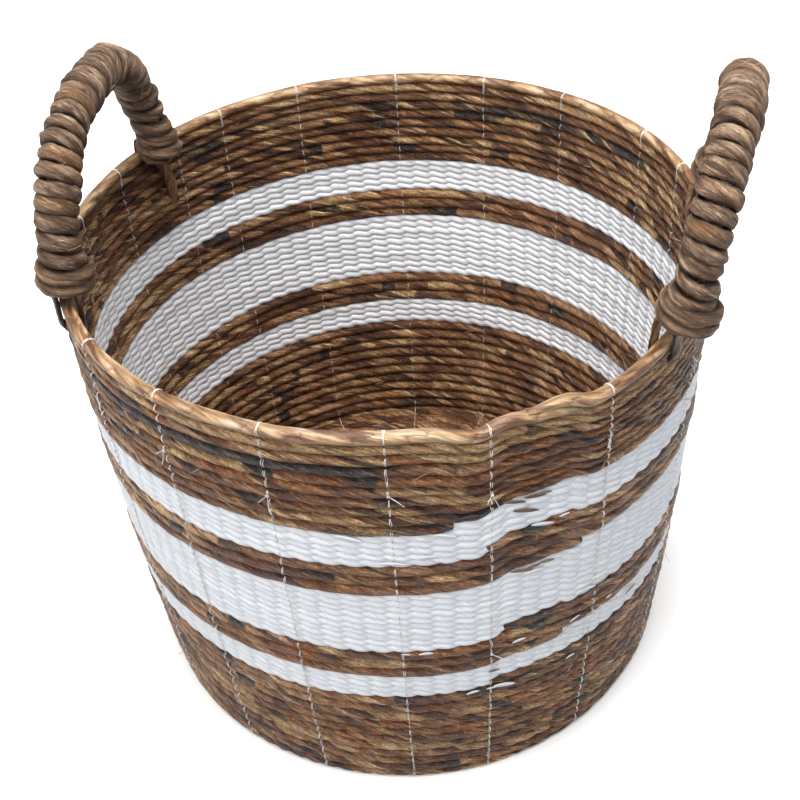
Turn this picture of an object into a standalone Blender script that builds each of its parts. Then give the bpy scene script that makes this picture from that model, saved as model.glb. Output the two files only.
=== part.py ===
"""Woven market basket: coiled rope wall and base, sewn with thread, and two wrapped rope handles.

Metres, +Z up. The origin is the centre of the base's underside. The handles stand near +X (right) and
-X (left), and -Y is the front. Each run of rope of one colour is one solid, a turned ring whose outer
side is scalloped once for every turn of the rope.
"""
import math

import bpy
from mathutils import Vector

# Driving dimensions of the wall and base
RIM_RADIUS = 0.2020          # centre line of the wall at the rim
FOOT_RADIUS = 0.1882         # centre line of the wall at the floor
BELLY = 0.0040               # how far the wall swells past a straight cone at half its height
WALL_THICKNESS = 0.0080
SCALLOP_DEPTH = 0.0012       # how deep the groove between two turns of rope is
FOOT_ROUNDING = 0.0040       # how far the lowest turn of the wall is rounded off
BASE_THICKNESS = 0.0080
BASE_TURN_WIDTH = 0.0092     # width of one turn of the base's spiral
RIM_ROPE_DIAMETER = 0.0073

# The wall's runs of rope from the floor up: name, turns of rope, rise of one turn, finish
WALL_RUNS = [
    ("lower_wall_rope", 11, 0.00938, "dark_rope"),
    ("lower_white_rope", 4, 0.00560, "white_rope"),
    ("lower_brown_rope", 3, 0.00905, "dark_rope"),
    ("middle_white_rope", 10, 0.00544, "white_rope"),
    ("upper_brown_rope", 3, 0.00845, "dark_rope"),
    ("upper_white_rope", 5, 0.00515, "white_rope"),
    ("top_wall_rope", 7, 0.00733, "dark_rope"),
    ("collar_rope", 2, 0.00733, "tan_rope"),
]

# Driving dimensions of the handles
CORE_RADIUS = 0.0070
WRAP_THICKNESS = 0.0060
BINDING_THICKNESS = 0.0045
BINDING_LENGTH = 0.0240
FOOT_GAP = 0.0012            # space under a binding, which also takes up the slant of its end
ARCH_SQUARENESS = 2.45       # exponent of the arch's superellipse: 2 is an ellipse
# For each handle: where it stands on the rim, half of what it spans there, how far outside the
# rim's centre line its feet are, how high it rises above them, and how far it leans out
HANDLES = {
    "left": {"angle": 184.7, "half_span": 26.4, "outset": -0.0036, "rise": 0.0878, "lean": -2.2},
    "right": {"angle": -6.5, "half_span": 21.3, "outset": 0.0098, "rise": 0.0962, "lean": 6.2},
}
LEG_CORD_RADIUS = 0.0033
INNER_CORD_DROP = 0.0420     # how far a leg's inner cord hangs below the rim rope's centre
OUTER_CORD_DROP = 0.0300

# Driving dimensions of the stitching
THREAD_RADIUS = 0.0004
THREAD_INNER_END = 0.0300    # radius at which a thread starts on the base
THREAD_OUTER_END = 0.0050    # height at which a thread ends on the outside
STITCH_ANGLES = [-115.5, -97, -78.5, -63, -42, -17, 3.5, 24.5, 38.5, 61,
                 79.5, 99, 121, 139, 151, 168.5, 185.5, 202.5, 225.5]

CLEARANCE = 0.0003           # gap between neighbouring pieces
SEGMENTS = 32                # flats around each turned ring
SLEEVE_SIDES = 10            # sides of a handle's wrap and bindings
THREAD_WALL_POINTS = 7
THREAD_RIM_STEPS = 6
ARCH_POINTS = 25
CORD_POINTS = 7

# What follows from them
RIM_ROPE_RADIUS = RIM_ROPE_DIAMETER / 2
WALL_HEIGHT = sum(turns * rise for _, turns, rise, _ in WALL_RUNS)
RIM_HEIGHT = WALL_HEIGHT + CLEARANCE / 2 + RIM_ROPE_RADIUS
RIM_TOP = RIM_HEIGHT + RIM_ROPE_RADIUS
HALF_WALL = WALL_THICKNESS / 2
HALF_RIM = max(HALF_WALL, RIM_ROPE_RADIUS)   # half of what a cord or thread passes at the rim
WRAP_RADIUS = CORE_RADIUS + WRAP_THICKNESS
BINDING_RADIUS = WRAP_RADIUS + BINDING_THICKNESS
FLAT_FACTOR = math.cos(math.pi / SEGMENTS)   # a flat's middle lies this much nearer the axis

# Finishes: colour, roughness, metallic
FINISHES = {
    "dark_rope": ((0.130, 0.062, 0.028), 0.62, 0.0),
    "tan_rope": ((0.420, 0.240, 0.110), 0.58, 0.0),
    "white_rope": ((0.780, 0.800, 0.820), 0.50, 0.0),
    "handle_wrap": ((0.290, 0.165, 0.090), 0.66, 0.0),
    "handle_core": ((0.200, 0.115, 0.060), 0.75, 0.0),
    "thread": ((0.720, 0.700, 0.660), 0.30, 0.0),
}


def clear_scene():
    for item in list(bpy.data.objects):
        bpy.data.objects.remove(item, do_unlink=True)


def finish(name):
    """The material of one finish, made the first time it is asked for."""
    if name not in bpy.data.materials:
        colour, roughness, metallic = FINISHES[name]
        material = bpy.data.materials.new(name)
        material.use_nodes = True
        shader = material.node_tree.nodes["Principled BSDF"]
        shader.inputs["Base Color"].default_value = (*colour, 1)
        shader.inputs["Roughness"].default_value = roughness
        shader.inputs["Metallic"].default_value = metallic
    return bpy.data.materials[name]


def add_part(name, data, finish_name):
    """A named part in the basket's collection, with its finish."""
    part = bpy.data.objects.new(name, data)
    parts_collection.objects.link(part)
    data.materials.append(finish(finish_name))
    return part


def wall_radius(height):
    """Centre line of the wall at a height."""
    share = height / RIM_HEIGHT
    cone = FOOT_RADIUS + (RIM_RADIUS - FOOT_RADIUS) * share
    return cone + BELLY * 4 * share * (1 - share)


def turned_ring(name, outline, finish_name, closed=True):
    """A solid turned about Z from an outline of (radius, height) points, outer side downwards."""
    edges = [(i, i + 1) for i in range(len(outline) - 1)]
    if closed:
        edges.append((len(outline) - 1, 0))
    mesh = bpy.data.meshes.new(name)
    mesh.from_pydata([(radius, 0, height) for radius, height in outline], edges, [])
    part = add_part(name, mesh, finish_name)
    screw = part.modifiers.new("turn", "SCREW")
    screw.steps = SEGMENTS
    screw.render_steps = SEGMENTS
    screw.use_merge_vertices = True
    screw.merge_threshold = 0.00002
    screw.use_smooth_shade = True
    return part


def wall_run(name, base_height, turns, rise, finish_name):
    """One run of rope in the wall, with a groove on its outer side between every two turns."""
    low = base_height + CLEARANCE / 2
    high = base_height + turns * rise - CLEARANCE / 2
    groove = HALF_WALL - SCALLOP_DEPTH
    step = (high - low) / turns
    plain = finish_name == "white_rope"
    outline = [(wall_radius(high) + groove, high)]
    if plain:
        outline.append((wall_radius((low + high) / 2) + HALF_WALL, (low + high) / 2))
    else:
        for turn in range(turns):
            crest = high - (turn + 0.5) * step
            outline.append((wall_radius(crest) + HALF_WALL, crest))
            if turn < turns - 1:
                valley = high - (turn + 1) * step
                outline.append((wall_radius(valley) + groove, valley))
    outline.append((wall_radius(low) + groove, low))
    outline.append((wall_radius(low) - groove, low))
    outline.append((wall_radius((low + high) / 2) - HALF_WALL, (low + high) / 2))
    outline.append((wall_radius(high) - groove, high))
    turned_ring(name, outline, finish_name)


def foot_run(name, turns, rise, finish_name):
    """The lowest run of rope, which also stands on the floor beside the base."""
    high = turns * rise - CLEARANCE / 2
    groove = HALF_WALL - SCALLOP_DEPTH
    step = high / turns
    outline = [(wall_radius(high) + groove, high)]
    for turn in range(turns):
        crest = high - (turn + 0.5) * step
        outline.append((wall_radius(crest) + HALF_WALL, crest))
        if turn < turns - 1:
            valley = high - (turn + 1) * step
            outline.append((wall_radius(valley) + groove, valley))
    outline.append((FOOT_RADIUS + HALF_WALL - FOOT_ROUNDING, 0))
    outline.append((FOOT_RADIUS - HALF_WALL, 0))
    outline.append((wall_radius(step) - HALF_WALL, step))
    outline.append((wall_radius(high / 2) - HALF_WALL, high / 2))
    outline.append((wall_radius(high) - groove, high))
    turned_ring(name, outline, finish_name)


def base_disc():
    """The coiled base: a disc inside the foot of the wall, flat below and scalloped above."""
    edge = FOOT_RADIUS - HALF_WALL - CLEARANCE
    turns = round(edge / BASE_TURN_WIDTH)
    width = edge / turns
    groove = BASE_THICKNESS - SCALLOP_DEPTH
    outline = [(0, BASE_THICKNESS)]
    for turn in range(1, turns):
        outline.append((turn * width, groove))
        outline.append(((turn + 0.5) * width, BASE_THICKNESS))
    outline.append((edge, groove))
    outline.append((edge, 0))
    outline.append((0, 0))
    turned_ring("base_coil", outline, "dark_rope", closed=False)


def rim_rope():
    bpy.ops.mesh.primitive_torus_add(
        major_segments=SEGMENTS, minor_segments=8, major_radius=RIM_RADIUS,
        minor_radius=RIM_ROPE_RADIUS, location=(0, 0, RIM_HEIGHT))
    part = bpy.context.object
    part.name = "rim_rope"
    for collection in list(part.users_collection):
        collection.objects.unlink(part)
    parts_collection.objects.link(part)
    part.data.materials.append(finish("tan_rope"))
    part.data.shade_smooth()


def path_curve(name, points, radius, resolution, capped=True):
    """A round tube along points, as a curve of straight stretches."""
    curve = bpy.data.curves.new(name, "CURVE")
    curve.dimensions = "3D"
    curve.bevel_depth = radius
    curve.bevel_resolution = resolution
    curve.use_fill_caps = capped
    spline = curve.splines.new("POLY")
    spline.points.add(len(points) - 1)
    for place, point in zip(spline.points, points):
        place.co = (*point, 1)
    spline.use_smooth = True
    return curve


def sleeve(name, points, radius, bore, finish_name):
    """A tube along points with a bore that clears a round piece of that radius."""
    guide = bpy.data.objects.new(name + "_guide", path_curve(
        name + "_guide", points, radius, (SLEEVE_SIDES - 4) // 2, capped=False))
    parts_collection.objects.link(guide)
    depsgraph = bpy.context.evaluated_depsgraph_get()
    mesh = bpy.data.meshes.new_from_object(guide.evaluated_get(depsgraph))
    mesh.name = name
    bpy.data.objects.remove(guide, do_unlink=True)
    part = add_part(name, mesh, finish_name)
    mesh.shade_smooth()
    wall = part.modifiers.new("wall", "SOLIDIFY")
    wall.thickness = radius - (bore + CLEARANCE) / math.cos(math.pi / SLEEVE_SIDES)
    wall.offset = -1


def arch_point(handle, turn):
    """A point of a handle's centre line: turn runs from 0 at its first foot to pi at its other."""
    angle = math.radians(handle["angle"])
    half_span = math.radians(handle["half_span"])
    lean = math.radians(handle["lean"])
    power = 2 / ARCH_SQUARENESS
    feet_radius = RIM_RADIUS + handle["outset"]
    half_width = feet_radius * math.sin(half_span)
    chord = feet_radius * math.cos(half_span)
    along = half_width * math.copysign(abs(math.cos(turn)) ** power, math.cos(turn))
    up = handle["rise"] * max(math.sin(turn), 0) ** power
    out = Vector((math.cos(angle), math.sin(angle), 0))
    side = Vector((-math.sin(angle), math.cos(angle), 0))
    foot_height = RIM_TOP + FOOT_GAP + BINDING_RADIUS * math.sin(abs(lean))
    return (out * (chord + up * math.sin(lean)) - side * along
            + Vector((0, 0, foot_height + up * math.cos(lean))))


def arch_path(handle):
    return [arch_point(handle, math.pi * i / (ARCH_POINTS - 1)) for i in range(ARCH_POINTS)]


def foot_path(path, length):
    """The start of a path, up to a length along it."""
    points = [path[0]]
    travelled = 0
    for here, there in zip(path, path[1:]):
        step = (there - here).length
        if travelled + step >= length:
            points.append(here.lerp(there, (length - travelled) / step))
            return points
        points.append(there)
        travelled += step
    return points


def leg_cords(name, angle):
    """The two cords of one leg, down the inside and the outside of the wall from the rim."""
    inner = []
    outer = []
    for i in range(CORD_POINTS):
        share = i / (CORD_POINTS - 1)
        height = RIM_TOP - INNER_CORD_DROP * share
        radius = (wall_radius(min(height, RIM_HEIGHT)) - HALF_RIM) * FLAT_FACTOR
        inner.append(around(radius - CLEARANCE - LEG_CORD_RADIUS, angle, height))
        height = RIM_TOP - OUTER_CORD_DROP * share
        radius = wall_radius(min(height, RIM_HEIGHT)) + HALF_RIM
        outer.append(around(radius + CLEARANCE + LEG_CORD_RADIUS, angle, height))
    add_part(name + "_inner_cord", path_curve(name + "_inner_cord", inner, LEG_CORD_RADIUS, 2),
             "handle_wrap")
    add_part(name + "_outer_cord", path_curve(name + "_outer_cord", outer, LEG_CORD_RADIUS, 2),
             "dark_rope")


def around(radius, angle, height):
    return Vector((radius * math.cos(angle), radius * math.sin(angle), height))


def handle(side):
    """One handle: its core, the rope wrapped round it, and the binding and cords of both legs."""
    sizes = HANDLES[side]
    path = arch_path(sizes)
    add_part(side + "_handle_core", path_curve(side + "_handle_core", path, CORE_RADIUS, 2),
             "handle_core")
    sleeve(side + "_handle_wrap", path, WRAP_RADIUS, CORE_RADIUS, "handle_wrap")
    for leg_path in (path, path[::-1]):
        leg = "front" if leg_path[0].y < leg_path[-1].y else "rear"
        name = side + "_" + leg
        sleeve(name + "_binding", foot_path(leg_path, BINDING_LENGTH), BINDING_RADIUS, WRAP_RADIUS,
               "handle_wrap")
        leg_cords(name, math.atan2(leg_path[0].y, leg_path[0].x))


def flat_share(angle):
    """How near the axis a turned ring's flats lie at an angle, as a share of its radius."""
    flat = 2 * math.pi / SEGMENTS
    return FLAT_FACTOR / math.cos(angle % flat - flat / 2)


def stitch_thread(name, angle):
    """One line of stitching: out along the base, up the inside, over the rim and down the outside."""
    share = flat_share(angle)
    proud = CLEARANCE + THREAD_RADIUS
    floor = BASE_THICKNESS + proud
    points = [around(THREAD_INNER_END, angle, floor)]
    corner = (wall_radius(floor) - HALF_RIM) * share - proud
    points.append(around((THREAD_INNER_END + corner) / 2, angle, floor))
    for i in range(THREAD_WALL_POINTS):
        height = floor + (RIM_HEIGHT - floor) * i / (THREAD_WALL_POINTS - 1)
        points.append(around((wall_radius(height) - HALF_RIM) * share - proud, angle, height))
    for i in range(1, THREAD_RIM_STEPS):
        turn = math.pi * i / THREAD_RIM_STEPS
        radius = RIM_RADIUS * share - (HALF_RIM + proud) * math.cos(turn)
        points.append(around(radius, angle, RIM_HEIGHT + (HALF_RIM + proud) * math.sin(turn)))
    for i in range(THREAD_WALL_POINTS):
        height = RIM_HEIGHT + (THREAD_OUTER_END - RIM_HEIGHT) * i / (THREAD_WALL_POINTS - 1)
        points.append(around(wall_radius(height) + HALF_RIM + proud, angle, height))
    add_part(name, path_curve(name, points, THREAD_RADIUS, 0), "thread")


clear_scene()
parts_collection = bpy.data.collections.new("woven_market_basket")
bpy.context.scene.collection.children.link(parts_collection)

base_disc()
height_so_far = 0
for run_name, run_turns, run_rise, run_finish in WALL_RUNS:
    if height_so_far == 0:
        foot_run(run_name, run_turns, run_rise, run_finish)
    else:
        wall_run(run_name, height_so_far, run_turns, run_rise, run_finish)
    height_so_far += run_turns * run_rise
rim_rope()
handle("left")
handle("right")
for number, stitch_angle in enumerate(STITCH_ANGLES, start=1):
    stitch_thread(f"stitch_thread_{number:02d}", math.radians(stitch_angle))
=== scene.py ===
"""The looks of the woven market basket: twisted leaf rope coiled and sewn into a base and a wall, with two
rope-wrapped handles. Metres, +Z up; -Y is the front."""
import math

import bpy
import numpy as np
from mathutils import Matrix, Vector


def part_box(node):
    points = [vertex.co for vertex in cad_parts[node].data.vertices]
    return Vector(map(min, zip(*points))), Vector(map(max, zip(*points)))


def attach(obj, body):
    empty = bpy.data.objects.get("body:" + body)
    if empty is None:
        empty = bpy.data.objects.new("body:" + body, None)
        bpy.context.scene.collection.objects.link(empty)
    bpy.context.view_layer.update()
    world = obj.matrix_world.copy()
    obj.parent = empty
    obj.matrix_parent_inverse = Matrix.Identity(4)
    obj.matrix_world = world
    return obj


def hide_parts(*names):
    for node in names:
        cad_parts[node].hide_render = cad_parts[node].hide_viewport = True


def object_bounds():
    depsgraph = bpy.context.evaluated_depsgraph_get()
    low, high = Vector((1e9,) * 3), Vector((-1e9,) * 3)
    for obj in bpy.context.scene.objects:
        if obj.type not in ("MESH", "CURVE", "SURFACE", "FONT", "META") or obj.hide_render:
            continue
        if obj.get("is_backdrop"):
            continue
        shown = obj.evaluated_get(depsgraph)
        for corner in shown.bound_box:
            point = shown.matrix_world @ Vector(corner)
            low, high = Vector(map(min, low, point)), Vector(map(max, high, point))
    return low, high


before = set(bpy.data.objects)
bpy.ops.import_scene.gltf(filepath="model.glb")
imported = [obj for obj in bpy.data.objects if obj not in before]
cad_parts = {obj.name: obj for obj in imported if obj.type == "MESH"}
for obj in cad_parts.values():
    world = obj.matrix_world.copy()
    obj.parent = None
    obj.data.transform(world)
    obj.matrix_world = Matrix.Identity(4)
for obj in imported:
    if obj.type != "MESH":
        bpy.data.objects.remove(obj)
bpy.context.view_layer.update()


# ==== The coil ============================================
# One rope, spliced from runs of leaf rope and white rope, is coiled from the middle of the base to the rim.
# Every turn lies on the one below it, and it climbs by one row where the turn closes on itself.

CLEARANCE = 0.0003
HALF_WALL = 0.0040                 # half of the wall's thickness where the leaf rope runs
rim_low, rim_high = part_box("rim_rope")
base_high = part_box("base_coil")[1]
RIM_HALF = (rim_high.z - rim_low.z) / 2
RIM_RADIUS = rim_high.x - RIM_HALF
RIM_TOP = rim_high.z
RIM_HEIGHT = RIM_TOP - RIM_HALF
FOOT_RADIUS = base_high.x + CLEARANCE + HALF_WALL
BELLY = 0.0040                     # how far the wall swells past a straight cone at half its height
BASE_THICKNESS = base_high.z
BASE_TURN_WIDTH = 0.0092

STEPS = 720                        # points along one turn of the rope
TURN_START = math.radians(-57)     # where every turn closes on itself
CLIMB_SHARE = 0.14                 # share of a turn, on each side of that place, over which the rope climbs

# How far the rim strays from level, in metres, at angles in degrees: it sags beside the end of the rope
RIM_STRAYS = [(-180, 0), (-78, 0), (-71, -0.0040), (-65, -0.0105), (-60, -0.0140), (-57, -0.0110),
              (-50, -0.0115), (-42, -0.0100), (-34, -0.0070), (-27, -0.0040), (-12, 0), (180, 0)]

# The runs of rope from the floor up: CAD node, turns, half of the rope's thickness through the wall, and
# how far past the place where turns close the run starts, in turns
RUNS = [
    ("lower_wall_rope", 11, 0.0040, 0.0),
    ("lower_white_rope", 4, 0.0032, 0.016),
    ("lower_brown_rope", 3, 0.0039, -0.024),
    ("middle_white_rope", 10, 0.0032, 0.010),
    ("upper_brown_rope", 3, 0.0039, -0.030),
    ("upper_white_rope", 5, 0.0032, 0.018),
    ("top_wall_rope", 7, 0.0039, 0.034),
    ("collar_rope", 2, 0.0038, 0.010),
    ("rim_rope", 1, 0.0040, -0.022),
]
TURNS = sum(turns for _, turns, _, _ in RUNS)
LUMPY_TURNS = (4, 5)               # counted down from the top
THINNER_TURNS = 9                  # from the second from the top down
THINNER_ROW = 0.0073               # the height of a row in them
UP = np.array([0, 0, 1])


def wall_radius(height):
    """Centre line of the wall at a height."""
    share = height / RIM_HEIGHT
    cone = FOOT_RADIUS + (RIM_RADIUS - FOOT_RADIUS) * share
    return cone + BELLY * 4 * share * (1 - share)


def smooth_step(values, low, high):
    share = np.clip((np.asarray(values, float) - low) / (high - low), 0, 1)
    return share * share * (3 - 2 * share)


def smooth_noise(distance, wavelength, seed):
    """Seeded noise from -1 to 1 that changes smoothly along a distance."""
    knots = np.random.default_rng(seed).uniform(-1, 1, int(distance.max() / wavelength) + 3)
    place = distance / wavelength
    before = place.astype(int)
    share = smooth_step(place - before, 0, 1)
    return knots[before] * (1 - share) + knots[before + 1] * share


def smoothed(values, reach):
    """Values averaged over a bell as wide as reach, which is odd."""
    bell = np.hanning(reach) / np.hanning(reach).sum()
    return np.convolve(values, bell, mode="valid")


def climb(share):
    """How far a turn has climbed at a share of its way round, from -0.5 to 0.5 of a row."""
    return 0.5 * smooth_step(share, 1 - CLIMB_SHARE, 1) - 0.5 * (1 - smooth_step(share, 0, CLIMB_SHARE))


def travelled_along(points):
    """The distance along a path to each of its points."""
    return np.concatenate([[0], np.cumsum(np.linalg.norm(np.diff(points, axis=0), axis=1))])


def around(radius, angle, height):
    """Points at a radius, an angle about Z and a height, as rows of X, Y and Z."""
    return np.stack(np.broadcast_arrays(radius * np.cos(angle), radius * np.sin(angle), height), axis=-1)


# Row height and half thickness at every point of the coil
turn = np.arange(TURNS * STEPS + 1) / STEPS
row_height = np.zeros(len(turn))
half_width = np.zeros(len(turn))
run_starts = []
turns_so_far = 0
for node, run_turns, run_half, run_shift in RUNS:
    low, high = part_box(node)
    run_rise = high.z - low.z if node == "rim_rope" else (high.z - low.z + CLEARANCE) / run_turns
    run_start = turns_so_far + run_shift
    run_starts.append(run_start)
    blend = smooth_step(turn, run_start - 0.006, run_start + 0.006) if turns_so_far else 1
    row_height = row_height * (1 - blend) + run_rise * blend
    half_width = half_width * (1 - blend) + run_half * blend
    turns_so_far += run_turns
run_starts.append(float(TURNS))

# The rim is level: where the rope has not yet climbed its row, two lumpy turns near the top make up for it,
# and where it has climbed too far the nine top turns are all a little thinner
share_of_turn = turn % 1
turns_below_top = TURNS - np.floor(turn)
too_high = climb(share_of_turn)
lumpy = 0.5 * np.isin(turns_below_top, LUMPY_TURNS)
thinner = ((turns_below_top > 1) & (turns_below_top <= 1 + THINNER_TURNS)) / THINNER_TURNS
turned_to = (np.degrees(TURN_START) - 360 * share_of_turn + 180) % 360 - 180
stray = np.interp(turned_to, *np.array(RIM_STRAYS).T)
fill = lumpy * np.minimum(too_high, 0) + thinner * (np.maximum(too_high, 0) - stray / THINNER_ROW)
row_height = row_height * (1 - smoothed(np.pad(fill, (0, 20), mode="edge"), 21))

# Height of the underside of the rope: the first turn lies on the floor, the others on the turn below
underside = np.zeros(len(turn) + STEPS)
first = np.arange(STEPS) / STEPS
underside[:STEPS] = row_height[0] * np.maximum(climb(first), 0)
for step, rise in enumerate(row_height):
    if step < STEPS:
        rise = row_height[0] * (1 + climb(first[step])) - underside[step]
    underside[step + STEPS] = underside[step] + rise
coil_distance = np.arange(len(underside)) * 2 * math.pi * RIM_RADIUS / STEPS
wobble = 0.00055 * smooth_noise(coil_distance, 0.070, 3) + 0.00042 * smooth_noise(coil_distance, 0.017, 4)
wobble[:STEPS] = 0
wobble[-STEPS - 1:] = 0
underside += wobble
coil_half_height = (underside[STEPS:STEPS + len(turn)] - underside[:len(turn)]) / 2
coil_height = underside[:len(turn)] + coil_half_height
along = coil_distance[:len(turn)]
coil_radius = wall_radius(coil_height) + 0.00035 * smooth_noise(along, 0.045, 5)
coil_angle = TURN_START - 2 * math.pi * turn
rim_end = smooth_step(turn, TURNS - 0.022, TURNS - 0.002)
coil_half_height *= 1 - 0.6 * rim_end
coil_height -= 0.0034 * rim_end
half_width *= 1 - 0.4 * rim_end


VECTOR = "FLOAT_VECTOR"


class Value:
    """An output socket of a node. Arithmetic on it adds maths nodes to its tree."""

    def __init__(self, socket):
        self.socket = socket
        self.tree = socket.id_data

    def maths(self, operation, *others):
        return output_of(self.tree, "ShaderNodeMath", dict(enumerate([self, *others])), operation=operation)

    def vector(self, operation, *others):
        inputs = {0: self, "Scale": others[0]} if operation == "SCALE" else dict(enumerate([self, *others]))
        return output_of(self.tree, "ShaderNodeVectorMath", inputs, operation=operation)

    def __add__(self, other):
        return self.maths("ADD", other)

    def __sub__(self, other):
        return self.maths("SUBTRACT", other)

    def __rsub__(self, other):
        return output_of(self.tree, "ShaderNodeMath", {0: other, 1: self}, operation="SUBTRACT")

    def __mul__(self, other):
        return self.maths("MULTIPLY", other)

    def __truediv__(self, other):
        return self.maths("DIVIDE", other)

    def __pow__(self, other):
        return self.maths("POWER", other)


def new_node(tree, kind, inputs=(), **settings):
    """A node with its settings and its inputs, each of which is a Value to link or a plain value."""
    node = tree.nodes.new(kind)
    for name, setting in settings.items():
        setattr(node, name, setting)
    for key, given in dict(inputs).items():
        if isinstance(key, int):
            socket = node.inputs[key]
        else:
            socket = next(item for item in node.inputs if item.name == key and item.enabled)
        if isinstance(given, Value):
            tree.links.new(given.socket, socket)
        else:
            socket.default_value = given
    return node


def output_of(tree, kind, inputs=(), output=None, **settings):
    """A new node's output of that name, or its first that is in use."""
    outputs = new_node(tree, kind, inputs, **settings).outputs
    return Value(next(item for item in outputs if item.enabled and output in (None, item.name)))


def combined(x, y, z):
    return output_of(z.tree, "ShaderNodeCombineXYZ", {0: x, 1: y, 2: z})


def noise(place, detail=3.0, roughness=0.5, scale=1.0, output=None, seed=None):
    """Noise about 0.5 at a place, or coloured noise where the output is Color."""
    inputs = {"Vector": place, "Scale": scale, "Detail": detail, "Roughness": roughness}
    if seed is not None:
        inputs["W"] = seed
    return output_of(place.tree, "ShaderNodeTexNoise", inputs, output,
                     noise_dimensions="3D" if seed is None else "4D")


def cells(place, output=None, **settings):
    return output_of(place.tree, "ShaderNodeTexVoronoi", {"Vector": place, "Scale": 1.0}, output, **settings)


def new_tree(name, sockets):
    """A geometry tree with named inputs, and the values of those inputs."""
    tree = bpy.data.node_groups.new(name, "GeometryNodeTree")
    tree.interface.new_socket("Geometry", in_out="INPUT", socket_type="NodeSocketGeometry")
    for socket, kind in sockets.items():
        tree.interface.new_socket(socket, in_out="INPUT", socket_type="NodeSocket" + kind)
    tree.interface.new_socket("Geometry", in_out="OUTPUT", socket_type="NodeSocketGeometry")
    return tree, {socket.name: Value(socket) for socket in tree.nodes.new("NodeGroupInput").outputs}


def changed(geometry, kind, **inputs):
    """A geometry after one more geometry node."""
    inputs = {key.replace("_", " "): value for key, value in inputs.items()}
    return output_of(geometry.tree, "GeometryNode" + kind, {"Geometry": geometry, **inputs})


def store(geometry, name, kind, value):
    return output_of(geometry.tree, "GeometryNodeStoreNamedAttribute",
                     {"Geometry": geometry, "Name": name, "Value": value}, data_type=kind, domain="POINT")


def stored(tree, name, kind="FLOAT"):
    return output_of(tree, "GeometryNodeInputNamedAttribute", {"Name": name}, data_type=kind)


def circle(given, radius):
    return output_of(given["Sides"].tree, "GeometryNodeCurvePrimitiveCircle",
                     {"Resolution": given["Sides"], "Radius": radius}, "Curve")


def swept(path, section):
    return output_of(path.tree, "GeometryNodeCurveToMesh",
                     {"Curve": path, "Profile Curve": section, "Fill Caps": True})


def close_tree(geometry, material):
    """The last nodes of a geometry tree."""
    geometry = changed(changed(geometry, "SetShadeSmooth"), "RealizeInstances")
    geometry = changed(geometry, "SetMaterial", Material=material)
    new_node(geometry.tree, "NodeGroupOutput", {"Geometry": geometry})


def wound_rope_tree():
    """Winds a rope of twisted strands along a path whose points carry an outward direction, half of the
    rope's width that way, half of its height across it, and the distance along the rope."""
    tree, given = new_tree("wound_rope", {
        "Sides": "Int", "Strands": "Int", "Lay": "Float", "Crease": "Float", "Lumps": "Float",
        "Lump Length": "Float", "Seed": "Int", "Material": "Material"})
    path = output_of(tree, "GeometryNodeMeshToCurve", {"Mesh": given["Geometry"]})
    path = store(path, "centre", VECTOR, output_of(tree, "GeometryNodeInputPosition"))
    path = store(path, "heading", VECTOR, output_of(tree, "GeometryNodeInputTangent"))
    step = output_of(tree, "GeometryNodeSplineParameter", output="Index")
    rope = swept(path, store(circle(given, 0.001), "bearing", "FLOAT", step * math.tau / given["Sides"]))

    heading = stored(tree, "heading", VECTOR)
    upward = heading.vector("CROSS_PRODUCT", stored(tree, "outward", VECTOR)).vector("NORMALIZE")
    outward = upward.vector("CROSS_PRODUCT", heading)
    bearing = stored(tree, "bearing")
    distance = stored(tree, "along")
    untwisted = bearing - distance * math.tau / given["Lay"]
    ridge = (untwisted * (given["Strands"] * 0.5)).maths("COSINE").maths("ABSOLUTE")
    strand = [untwisted.maths("COSINE"), untwisted.maths("SINE")]
    lump_place = combined(*strand, distance / given["Lump Length"])
    lump = noise(lump_place, 1.0, seed=given["Seed"]) * 2.0 - 1.0
    ripple = noise(lump_place.vector("MULTIPLY", (2.6, 2.6, 3.4)), 1.0, seed=given["Seed"]) * 1.1 - 0.55
    lump = (lump + ripple) * given["Lumps"]
    fullness = 1.0 - given["Crease"] * (1.0 - ridge)
    reach_out = stored(tree, "half_width") * fullness + lump
    reach_up = stored(tree, "half_height") * fullness + lump
    offset = outward.vector("SCALE", reach_out * bearing.maths("COSINE")).vector(
        "ADD", upward.vector("SCALE", reach_up * bearing.maths("SINE")))
    rope = store(rope, "strand", VECTOR, combined(*strand, distance))
    # groove is how deep in the crease between strands a point lies, and seam how near it is to the top or
    # bottom of the rope, where rows meet; the materials darken their colour with both as painted shade
    rope = store(rope, "groove", "FLOAT", 1.0 - ridge)
    rope = store(rope, "seam", "FLOAT", bearing.maths("SINE").maths("ABSOLUTE"))
    rope = changed(rope, "SetPosition",
                   Position=stored(tree, "centre", VECTOR).vector("ADD", offset))
    for name in ("centre", "heading", "bearing", "outward", "half_width", "half_height", "along"):
        rope = changed(rope, "RemoveAttribute", Name=name)
    close_tree(rope, given["Material"])
    return tree


wound_rope = wound_rope_tree()


def path_mesh(name, points, breaks=(), **values):
    """A mesh of edges along points, in one or more stretches, with values on its points."""
    mesh = bpy.data.meshes.new(name)
    gaps = set(breaks)
    edges = [(i, i + 1) for i in range(len(points) - 1) if i + 1 not in gaps]
    mesh.from_pydata([tuple(point) for point in points], edges, [])
    for key, value in values.items():
        value = np.asarray(value, np.float32)
        if value.ndim == 2:
            mesh.attributes.new(key, VECTOR, "POINT").data.foreach_set("vector", value.ravel())
        else:
            value = np.broadcast_to(value, len(points)).astype(np.float32)
            mesh.attributes.new(key, "FLOAT", "POINT").data.foreach_set("value", value)
    return mesh


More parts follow.
